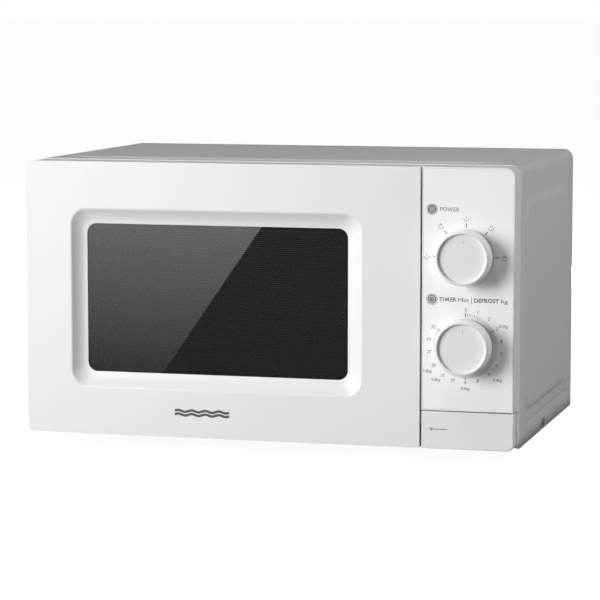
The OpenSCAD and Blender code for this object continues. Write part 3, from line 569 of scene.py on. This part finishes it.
def makeControlPanel():
    outer = lambda e: alongFront(e) and onOutline(e, panelLow, panelHigh) and middle(e).z > buttonHigh.z + 0.002
    mesh = roundedCopy("control_panel", [(0.8 * mm, 3, outer)])
    return flatNormals(addPiece("controlPanel", mesh, "cabinet", "white_plastic", ["control_panel"], 40))


def makeReleaseButton():
    outer = lambda e: alongFront(e) and onOutline(e, buttonLow, buttonHigh, 0.0058)
    mesh = roundedCopy("release_button", [(0.9 * mm, 3, outer)])
    return flatNormals(addPiece("releaseButton", mesh, "button", "white_plastic", ["release_button"], 40))


makeDoorFrame()
makeControlPanel()
makeReleaseButton()
print("door, panel and button rounded")

spring = {"travel": 4 * mm, "slack": 0.2 * mm}


# The spring behind the button is drawn pressed, so that the button's face clears it at full travel.
def makeButtonSpring():
    low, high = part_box("button_spring")
    squeeze = 1 - (spring["travel"] + spring["slack"]) / (high.y - low.y)
    mesh = nodes["button_spring"].data.copy()
    for v in mesh.vertices:
        v.co.y = high.y + (v.co.y - high.y) * squeeze
    bm = bmesh.new()
    bm.from_mesh(mesh)
    bmesh.ops.remove_doubles(bm, verts=bm.verts, dist=0.000001)
    addPiece("buttonSpring", meshFrom(bm, "buttonSpring"), "cabinet", "spring_steel", ["button_spring"], 80)


makeButtonSpring()

# Window: screen, printed border.

screen = {"pitch": 2.1, "hole": 0.66, "columns": 116, "rows": 75}


def treeWith(name, inputs):
    tree = bpy.data.node_groups.new(name, "GeometryNodeTree")
    for label, kind, value in inputs:
        socket = tree.interface.new_socket(label, in_out="INPUT", socket_type=kind)
        if value is not None:
            socket.default_value = value
    tree.interface.new_socket("Geometry", in_out="OUTPUT", socket_type="NodeSocketGeometry")
    return tree, tree.nodes.new("NodeGroupInput").outputs, tree.nodes.new("NodeGroupOutput").inputs


def maths(tree, operation, first, second=None, third=None):
    node = tree.nodes.new("ShaderNodeMath")
    node.operation = operation
    for socket, value in zip(node.inputs, (first, second, third)):
        if value is None:
            continue
        if isinstance(value, (int, float)):
            socket.default_value = value
        else:
            tree.links.new(value, socket)
    return node.outputs[0]


def runTree(tree, values):
    holder = bpy.data.objects.new(tree.name, bpy.data.meshes.new(tree.name))
    bpy.context.scene.collection.objects.link(holder)
    modifier = holder.modifiers.new("build", "NODES")
    modifier.node_group = tree
    for item in tree.interface.items_tree:
        if item.item_type == "SOCKET" and item.in_out == "INPUT" and item.name in values:
            modifier[item.identifier] = values[item.name]
    graph = bpy.context.evaluated_depsgraph_get()
    mesh = bpy.data.meshes.new_from_object(holder.evaluated_get(graph))
    bpy.data.objects.remove(holder)
    return mesh


# Sheet of hexagonal cells, each with a round hole, in rows that are half a pitch apart.
def makePerforationTree():
    tree, given, result = treeWith("perforatedSheet", [
        ("Columns", "NodeSocketInt", 10), ("Rows", "NodeSocketInt", 10), ("Pitch", "NodeSocketFloat", 0.002),
        ("Hole Radius", "NodeSocketFloat", 0.0006), ("Paint", "NodeSocketMaterial", None)])
    new, link = tree.nodes.new, tree.links.new
    points, index, place = new("GeometryNodePoints"), new("GeometryNodeInputIndex"), new("ShaderNodeCombineXYZ")
    link(maths(tree, "MULTIPLY", given["Columns"], given["Rows"]), points.inputs["Count"])
    row = maths(tree, "FLOOR", maths(tree, "DIVIDE", index.outputs[0], given["Columns"]))
    column = maths(tree, "FLOORED_MODULO", index.outputs[0], given["Columns"])
    shifted = maths(tree, "MULTIPLY_ADD", maths(tree, "FLOORED_MODULO", row, 2.0), 0.5, column)
    link(maths(tree, "MULTIPLY", shifted, given["Pitch"]), place.inputs["X"])
    link(maths(tree, "MULTIPLY", maths(tree, "MULTIPLY", row, 0.8660254), given["Pitch"]), place.inputs["Y"])
    link(place.outputs[0], points.inputs["Position"])
    cell, hole, turned = new("GeometryNodeCurvePrimitiveCircle"), new("GeometryNodeCurvePrimitiveCircle"), new(
        "GeometryNodeTransform")
    cell.inputs["Resolution"].default_value, hole.inputs["Resolution"].default_value = 6, 8
    link(maths(tree, "MULTIPLY", given["Pitch"], 0.57735027), cell.inputs["Radius"])
    link(given["Hole Radius"], hole.inputs["Radius"])
    link(cell.outputs[0], turned.inputs["Geometry"])
    turned.inputs["Rotation"].default_value = (0, 0, math.radians(30))
    both, filled, copies = new("GeometryNodeJoinGeometry"), new("GeometryNodeFillCurve"), new(
        "GeometryNodeInstanceOnPoints")
    link(turned.outputs[0], both.inputs[0])
    link(hole.outputs[0], both.inputs[0])
    link(both.outputs[0], filled.inputs["Curve"])
    link(points.outputs[0], copies.inputs["Points"])
    link(filled.outputs[0], copies.inputs["Instance"])
    real, weld, paint = new("GeometryNodeRealizeInstances"), new("GeometryNodeMergeByDistance"), new(
        "GeometryNodeSetMaterial")
    weld.inputs["Distance"].default_value = 0.00002
    link(copies.outputs[0], real.inputs[0])
    link(real.outputs[0], weld.inputs[0])
    link(weld.outputs[0], paint.inputs["Geometry"])
    link(given["Paint"], paint.inputs["Material"])
    link(paint.outputs[0], result["Geometry"])
    return tree


def makeScreen():
    pitch = screen["pitch"] * mm
    holes = runTree(makePerforationTree(), {
        "Columns": screen["columns"], "Rows": screen["rows"], "Pitch": pitch,
        "Hole Radius": screen["hole"] * mm, "Paint": finishes["screen_paint"]})
    low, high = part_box("door_screen")
    y = (low.y + high.y) / 2
    width, height = (screen["columns"] - 0.5) * pitch, (screen["rows"] - 1) * pitch * 0.8660254
    middleX, middleZ = (low.x + high.x) / 2, (low.z + high.z) / 2
    holes.transform(Matrix(((1, 0, 0, middleX - width / 2 + pitch / 2), (0, 0, -1, y),
                            (0, 1, 0, middleZ - height / 2), (0, 0, 0, 1))))
    bm = bmesh.new()
    bm.from_mesh(holes)
    half = (width / 2 - 0.6 * pitch, height / 2 - 0.2 * pitch)
    inner = roundedOutline(middleX - half[0], middleZ - half[1], middleX + half[0], middleZ + half[1], 0.002)
    outer = roundedOutline(low.x, low.z, high.x, high.z, 0.0118)
    edge = y - 0.00005
    ringSurface(bm, [[(x, edge, z) for x, z in inner], [(x, edge, z) for x, z in outer]])
    mesh = meshFrom(bm, "perforatedScreen")
    return addPiece("perforatedScreen", mesh, "door", "screen_paint", ["door_screen"])


border = {"width": 4.8 * mm, "outerRadius": 9.2 * mm, "innerRadius": 7.2 * mm, "gap": 0.06 * mm,
          "thin": 0.05 * mm}


# Dark border printed on the back of the glass.
def makeGlassBorder():
    low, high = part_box("door_glass")
    y, width, thin = high.y + border["gap"], border["width"], border["thin"]
    outer = roundedOutline(low.x, low.z, high.x, high.z, border["outerRadius"])
    inner = roundedOutline(low.x + width, low.z + width, high.x - width, high.z - width, border["innerRadius"])
    bm = bmesh.new()
    loops = [(inner, y), (outer, y), (outer, y + thin), (inner, y + thin)]
    ringSurface(bm, [[(x, depth, z) for x, z in loop] for loop, depth in loops], closedEnds=True)
    bmesh.ops.recalc_face_normals(bm, faces=bm.faces)
    mesh = meshFrom(bm, "glassBorder")
    mesh.materials.append(borderInk)
    return addPiece("glassBorder", mesh, "door")


makeScreen()
makeGlassBorder()
print("window screen built")

# Knobs.

knob = {"taper": 0.25, "rim": 1.7, "dish": 2.4, "bend": 0.7, "wall": 1.35, "segments": 160}


def circle(radius, steps):
    return [(radius * math.sin(2 * math.pi * k / steps), radius * math.cos(2 * math.pi * k / steps))
            for k in range(steps)]


def latheAboutY(profile, segments, centre):
    bm = bmesh.new()
    ringSurface(bm, [[(centre.x + x * mm, centre.y + depth * mm, centre.z + z * mm)
                      for x, z in circle(radius, segments)] for radius, depth in profile])
    bmesh.ops.remove_doubles(bm, verts=bm.verts, dist=0.0000005)
    bmesh.ops.recalc_face_normals(bm, faces=bm.faces)
    return bm


def arc(cx, cy, radius, start, end, steps):
    return [(cx + radius * math.cos(math.radians(start + (end - start) * k / steps)),
             cy + radius * math.sin(math.radians(start + (end - start) * k / steps))) for k in range(steps + 1)]


def makeKnob(name, node, body):
    low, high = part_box(node)
    outerR, front = (high.x - low.x) / 2 / mm, (low.y - faceY) / mm
    centre = Vector(((low.x + high.x) / 2, faceY, (low.z + high.z) / 2))
    rim, dish = knob["rim"], knob["dish"]
    top = outerR - knob["taper"]
    cx = top - rim
    profile = [(outerR - 2.2, -0.5), (outerR - 0.3, -0.5)] + arc(outerR - 0.3, -0.8, 0.3, 90, 0, 3)
    profile += [(outerR - 0.35, front / 2), (top + 0.03, front + rim + 1.5)]
    profile += arc(cx, front + rim, rim, 0, -90, 8)  # rounded rim
    inner, bend = cx - 0.3, knob["bend"]
    profile += arc(inner, front + bend, bend, -90, -150, 5)
    floorR, floorY = inner - knob["wall"], front + dish
    profile += arc(floorR, floorY - bend, bend, 35, 90, 5)
    profile += [(floorR * 0.6, floorY - 0.05), (floorR * 0.25, floorY - 0.12), (0, floorY - 0.13)]
    bm = latheAboutY(profile, knob["segments"], centre)
    mesh = meshFrom(bm, name)
    piece = addPiece(name, mesh, body, "white_plastic", [node], 60)
    return piece, centre, floorR, floorY


# Small moulded pointer on the dished face.
def addPointer(name, centre, floorY, body):
    bm = bmesh.new()
    bmesh.ops.create_uvsphere(bm, u_segments=20, v_segments=10, radius=1)
    for v in bm.verts:
        v.co = Vector((centre.x + v.co.x * 0.8 * mm, centre.y + (floorY - 0.05 + v.co.y * 0.35) * mm,
                       centre.z + (14 + v.co.z * 1.7) * mm))
    mesh = meshFrom(bm, name)
    return addPiece(name, mesh, body, "white_plastic", sharp=80)


for name, node, body in (("powerKnob", "power_knob", "power_dial"), ("timerKnob", "timer_knob", "timer_dial")):
    piece, centre, floorR, floorY = makeKnob(name, node, body)
    addPointer(name + "Pointer", centre, floorY, body)
print("knobs turned")

# Printing on the panel.

printing = {"thick": 0.04, "powerZ": 179.3, "timerZ": 102.7, "dialX": 178.0,
            "powerAngles": (-90, -40.5, 0, 40.5, 90), "minuteR": 31.4, "minuteSize": 2.8, "weightSize": 2.7,
            "powerHead": (148.3, 219.6), "timerHead": (148.6, 142.5)}
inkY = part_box("panel_overlay")[0].y


def makeTickTree():
    tree, given, result = treeWith("ringOfTicks", [
        ("Count", "NodeSocketInt", 5), ("First", "NodeSocketFloat", 0.0), ("Step", "NodeSocketFloat", 0.1),
        ("Inner", "NodeSocketFloat", 0.025), ("Outer", "NodeSocketFloat", 0.0287),
        ("Width", "NodeSocketFloat", 0.0005), ("Thickness", "NodeSocketFloat", 0.00004),
        ("Ink", "NodeSocketMaterial", None)])
    new, link = tree.nodes.new, tree.links.new
    points, index = new("GeometryNodePoints"), new("GeometryNodeInputIndex")
    place, turn, size = (new("ShaderNodeCombineXYZ") for k in range(3))
    angle = maths(tree, "MULTIPLY_ADD", index.outputs[0], given["Step"], given["First"])
    reach = maths(tree, "MULTIPLY", maths(tree, "ADD", given["Inner"], given["Outer"]), 0.5)
    link(maths(tree, "MULTIPLY", maths(tree, "SINE", angle), reach), place.inputs["X"])
    link(maths(tree, "MULTIPLY", maths(tree, "COSINE", angle), reach), place.inputs["Z"])
    link(angle, turn.inputs["Y"])
    link(given["Width"], size.inputs["X"])
    link(given["Thickness"], size.inputs["Y"])
    link(maths(tree, "SUBTRACT", given["Outer"], given["Inner"]), size.inputs["Z"])
    link(given["Count"], points.inputs["Count"])
    link(place.outputs[0], points.inputs["Position"])
    tick, copies = new("GeometryNodeMeshCube"), new("GeometryNodeInstanceOnPoints")
    link(size.outputs[0], tick.inputs["Size"])
    link(points.outputs[0], copies.inputs["Points"])
    link(tick.outputs["Mesh"], copies.inputs["Instance"])
    link(turn.outputs[0], copies.inputs["Rotation"])
    real, ink = new("GeometryNodeRealizeInstances"), new("GeometryNodeSetMaterial")
    link(copies.outputs[0], real.inputs[0])
    link(real.outputs[0], ink.inputs["Geometry"])
    link(given["Ink"], ink.inputs["Material"])
    link(ink.outputs[0], result["Geometry"])
    return tree


tickTree = makeTickTree()
inks = {"printInk": printInk, "fineInkAndArrowShade": fineInkAndArrowShade, "paperInk": paperInk}
prints = {ink: bmesh.new() for ink in inks}


def addTicks(dialZ, count, first, step, inner, outer, width, ink="printInk", layers=1):
    mesh = runTree(tickTree, {"Count": count, "First": math.radians(first), "Step": math.radians(step),
                              "Inner": inner * mm, "Outer": outer * mm, "Width": width * mm,
                              "Thickness": 2 * layers * printing["thick"] * mm})
    mesh.transform(Matrix.Translation((printing["dialX"] * mm, inkY, dialZ * mm)))
    prints[ink].from_mesh(mesh)


def fontMesh(text, bold):
    curve = bpy.data.curves.new("letters", "FONT")
    curve.body = text
    curve.size = 1
    curve.offset = bold
    curve.resolution_u = 3
    curve.extrude = 0.01
    holder = bpy.data.objects.new("letters", curve)
    bpy.context.scene.collection.objects.link(holder)
    graph = bpy.context.evaluated_depsgraph_get()
    mesh = bpy.data.meshes.new_from_object(holder.evaluated_get(graph))
    bpy.data.objects.remove(holder)
    bm = bmesh.new()
    bm.from_mesh(mesh)
    bmesh.ops.remove_doubles(bm, verts=bm.verts, dist=0.0005)
    return meshFrom(bm, "letters")


capHeight = max(v.co.y for v in fontMesh("H", 0.0).vertices)


# Lettering with its middle, or its left end, at x and the middle of its capitals at z.
def addText(text, x, z, size, width=None, align="middle", bold=0.0, ink="printInk", surface=None):
    mesh = fontMesh(text, bold)
    xs = [v.co.x for v in mesh.vertices]
    tall = size / capHeight
    wide = width / (max(xs) - min(xs)) if width else tall * 0.92
    startX = x - min(xs) * wide - (0 if align == "left" else wide * (max(xs) - min(xs)) / 2)
    y = (inkY if surface is None else surface) / mm
    mesh.transform(Matrix(((wide, 0, 0, startX), (0, 0, -printing["thick"] * 100, y),
                           (0, tall, 0, z - size / 2), (0, 0, 0, 1))))
    mesh.transform(Matrix.Scale(mm, 4))
    prints[ink].from_mesh(mesh)


# Thin stroke along points, given round a middle point in millimetres.
def addStroke(points, x, z, width, ink="printInk", closed=False, surface=None, thick=None):
    y = inkY if surface is None else surface
    thick = (printing["thick"] if thick is None else thick) * mm
    bm = prints[ink]
    count = len(points)
    rings = []
    for i, (px, pz) in enumerate(points):
        before = points[(i - 1) % count] if closed or i else points[0]
        after = points[(i + 1) % count] if closed or i < count - 1 else points[-1]
        dx, dz = after[0] - before[0], after[1] - before[1]
        length = math.hypot(dx, dz) or 1
        nx, nz = -dz / length * width / 2, dx / length * width / 2
        (ax, az), (bx, bz) = [((x + px + k * nx) * mm, (z + pz + k * nz) * mm) for k in (1, -1)]
        rings.append([(ax, y - thick, az), (bx, y - thick, bz), (bx, y + thick, bz), (ax, y + thick, az)])
    made = ringSurface(bm, rings, closedEnds=closed)
    if not closed:
        bm.faces.new(made[0][::-1])
        bm.faces.new(made[-1])


def addDisc(x, z, radius, ink, steps=40):
    bm = prints[ink]
    ring = [((x + px) * mm, (z + pz) * mm) for px, pz in circle(radius, steps)]
    thick = printing["thick"] * mm
    made = ringSurface(bm, [[(px, y, pz) for px, pz in ring] for y in (inkY - thick, inkY + thick)])
    bm.faces.new(made[0])
    bm.faces.new(made[1][::-1])


def bowl(x, z, steam):
    addStroke(arc(0, 0, 2.0, 190, 350, 12), x, z, 0.46, "fineInkAndArrowShade")
    addStroke([(-2.9, 0), (-1.9, -0.2)], x, z, 0.42, "fineInkAndArrowShade")
    addStroke([(1.9, -0.2), (2.9, 0)], x, z, 0.42, "fineInkAndArrowShade")
    for offset in steam:
        addStroke([(offset, 0.2), (offset + 0.3, 0.9), (offset - 0.15, 1.6), (offset + 0.2, 2.4)], x, z, 0.4,
                  "fineInkAndArrowShade")


def makePowerScale():
    x, z = printing["dialX"], printing["powerZ"]
    for angle in printing["powerAngles"]:
        addTicks(z, 1, angle, 0, 25.2, 28.9, 0.7)
    low, defrost, middle, high, full = (math.radians(a) for a in printing["powerAngles"])
    for a, reach, steam in ((low, 34.2, (0,)), (middle, 33.0, (0,)), (high, 33.4, (-0.7, 0.7)),
                            (full, 33.8, (-1.1, 0, 1.1))):
        bowl(x + reach * math.sin(a), z + reach * math.cos(a) - 0.5, steam)
    x, z = x + 33.6 * math.sin(defrost), z + 33.6 * math.cos(defrost)
    addStroke(arc(0, -0.2, 2.0, 60, 380, 18), x, z, 0.42, "fineInkAndArrowShade")
    addStroke([(-1.2, 2.5), (0.9, 2.1), (-0.3, 0.5)], x, z, 0.38, "fineInkAndArrowShade")


def makeTimerScale():
    x, z = printing["dialX"], printing["timerZ"]
    addTicks(z, 61, 0, 10 / 3, 25.2, 28.2, 0.3, "fineInkAndArrowShade")
    addTicks(z, 25, 204, 4, 25.2, 28.2, 0.36, "fineInkAndArrowShade")
    for angle in (0, 60, 180, 300):
        addTicks(z, 1, angle, 0, 25.0, 28.9, 0.62, layers=2)
    for label, angle in [("0", 0)] + [(str(k) + "'", 20 * k) for k in range(1, 11)] + [
            ("15'", 218), ("20'", 238.5), ("25'", 260), ("30'", 279), ("35'", 299.5)]:
        a = math.radians(angle)
        reach = printing["minuteR"] + (1.0 if angle > 200 else 0)
        addText(label, x + reach * math.sin(a) + (0.3 if angle else 0), z + reach * math.cos(a),
                printing["minuteSize"], bold=0.006, ink="fineInkAndArrowShade")
    for label, angle, reach in (("0.2kg", 61, 37.6), ("0.4kg", 135, 39.7), ("0.6kg", 180, 36.3),
                                ("0.8kg", 221, 38.9), ("1.0kg", 236, 39.7)):
        a = math.radians(angle)
        addText(label, x + reach * math.sin(a), z + reach * math.cos(a), printing["weightSize"], bold=0.006,
                ink="fineInkAndArrowShade")


def makeHeadings():
    lines = {"ink": "paperInk", "thick": 0.07}
    power, timer = printing["powerHead"], printing["timerHead"]
    for x, z in (power, timer):
        addDisc(x, z, 4.0, "fineInkAndArrowShade")
        addStroke(circle(4.7, 48), x, z, 0.35, "fineInkAndArrowShade", closed=True)
    for offset in (-1.5, 0, 1.5):
        steam = [(offset + 0.25 * math.sin(k * 1.2), -0.4 + 0.4 * k) for k in range(7)]
        addStroke(steam, *power, 0.5, **lines)
    addStroke([(-2.3, -1.7), (2.3, -1.7)], *power, 0.5, **lines)
    addStroke(circle(2.6, 32), *timer, 0.5, closed=True, **lines)
    addStroke([(0, 2.4), (0, 0), (1.6, 0)], *timer, 0.5, **lines)
    addText("POWER", 155.4, 219.6, 3.4, 16.6, "left", 0.0)
    addText("TI", 154.8, 142.6, 3.5, 4.1, "left", 0.02)
    corners = [(0.3, 0), (0.65, 3.5), (1.75, 0.6), (2.85, 3.5), (3.2, 0)]
    for k, (start, end) in enumerate(zip(corners, corners[1:])):
        addStroke([start, end], 160.0, 142.6 - 1.75, 0.66, thick=0.04 + 0.01 * k)
    addText("ER", 164.6, 142.6, 3.5, 5.1, "left", 0.02)
    addText("Min", 171.3, 142.4, 3.4, 8.9, "left", 0.0)
    addStroke([(0, -2.9), (0, 2.9)], 182.9, 142.2, 0.45, "fineInkAndArrowShade")
    addText("DEFROST", 185.3, 142.2, 3.5, 21.5, "left", 0.02)
    addText("kg", 208.6, 142.2, 3.4, 6.0, "left", 0.0)


makePowerScale()
makeTimerScale()
makeHeadings()
for ink, name in (("printInk", "panelPrint"), ("fineInkAndArrowShade", "panelFinePrint"), ("paperInk", "panelSymbols")):
    bmesh.ops.recalc_face_normals(prints[ink], faces=prints[ink].faces)
    mesh = meshFrom(prints[ink], name)
    mesh.materials.clear()
    mesh.materials.append(inks[ink])
    addPiece(name, mesh, "cabinet")
print("panel printed")

# Mark on the door.

mark = {"x": -57.5, "z": 35.4, "length": 50.0, "gap": 3.2, "thick": 2.2, "swing": 0.75, "waves": 4}


def makeDoorMark():
    prints["doorMark"] = bmesh.new()
    steps = 12 * mark["waves"]
    for row in (-0.5, 0.5):
        wave = [(mark["length"] * (k / steps - 0.5),
                 row * mark["gap"] + mark["swing"] * math.sin(2 * math.pi * mark["waves"] * k / steps))
                for k in range(steps + 1)]
        addStroke(wave, mark["x"], mark["z"], mark["thick"], "doorMark", surface=faceY, thick=0.08)
    bmesh.ops.recalc_face_normals(prints["doorMark"], faces=prints["doorMark"].faces)
    mesh = meshFrom(prints["doorMark"], "doorMark")
    mesh.materials.append(printInk)
    addPiece("doorMark", mesh, "door")


makeDoorMark()

arrowShade = {"left": 147.4, "right": 162.4, "z": baseZ / mm + 17.0, "head": 1.6, "thick": 0.5}


# Painted shade: a grey stroke on the button's face darkens its engraved arrow, standing in for the shade inside
# the groove.
def makeButtonArrow():
    prints["buttonArrowShade"] = bmesh.new()
    x, z, surface = arrowShade["left"], arrowShade["z"], buttonLow.y
    addStroke([(0, 0), (arrowShade["right"] - x, 0)], x, z, arrowShade["thick"], "buttonArrowShade", surface=surface)
    tip = [(arrowShade["head"] * 1.3, arrowShade["head"] * 0.6 * side) for side in (1, -1)]
    addStroke([tip[0], (0, 0), tip[1]], x, z, arrowShade["thick"], "buttonArrowShade", surface=surface, thick=0.05)
    bmesh.ops.recalc_face_normals(prints["buttonArrowShade"], faces=prints["buttonArrowShade"].faces)
    mesh = meshFrom(prints["buttonArrowShade"], "buttonArrowShade")
    mesh.materials.append(fineInkAndArrowShade)
    addPiece("buttonArrowShade", mesh, "button")


makeButtonArrow()

# Glass turntable.

plate = {"foot": 102.5, "height": 13.5, "rimHeight": 11.0, "lip": 2.5, "floor": 5.0, "segments": 144}
lug = {"angles": (30, 150, 270), "reach": 15, "length": 3, "width": 12, "height": 4}


def makePlate():
    low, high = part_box("turntable_plate")
    centreX, centreY = (low.x + high.x) / 2, (low.y + high.y) / 2
    base = high.z - plate["height"] * mm
    top = (high.x - low.x) / 2 / mm - plate["lip"]
    profile = [(0, 0), (plate["foot"] - 1, 0)] + arc(plate["foot"] - 1, 3, 3, -90, -62, 4)
    profile += [(top - 1.2, 8.2)] + arc(top, plate["rimHeight"], plate["lip"], -35, 180, 14) + [(top - 3.2, 10)]
    profile += arc(plate["foot"] - 1.5, 8, 3, -45, -90, 4) + [(0, plate["floor"])]
    bm = bmesh.new()
    ringSurface(bm, [[(centreX + y * mm, centreY + x * mm, base + h * mm)
                      for x, y in circle(r, plate["segments"])] for r, h in profile])
    bmesh.ops.remove_doubles(bm, verts=bm.verts, dist=0.000001)
    for angle in lug["angles"]:  # driven by the coupler
        turn = Matrix.Translation((centreX, centreY, base)) @ Matrix.Rotation(math.radians(angle), 4, "Z")
        for v in bmesh.ops.create_cube(bm, size=1)["verts"]:
            v.co = turn @ Vector(((lug["reach"] + lug["length"] * v.co.x) * mm, lug["width"] * v.co.y * mm,
                                  (-2 + lug["height"] * v.co.z) * mm))
    bmesh.ops.recalc_face_normals(bm, faces=bm.faces)
    mesh = meshFrom(bm, "glassPlate")
    return addPiece("glassPlate", mesh, "turntable", "clear_glass", ["turntable_plate"], 50)


makePlate()
print("turntable made")
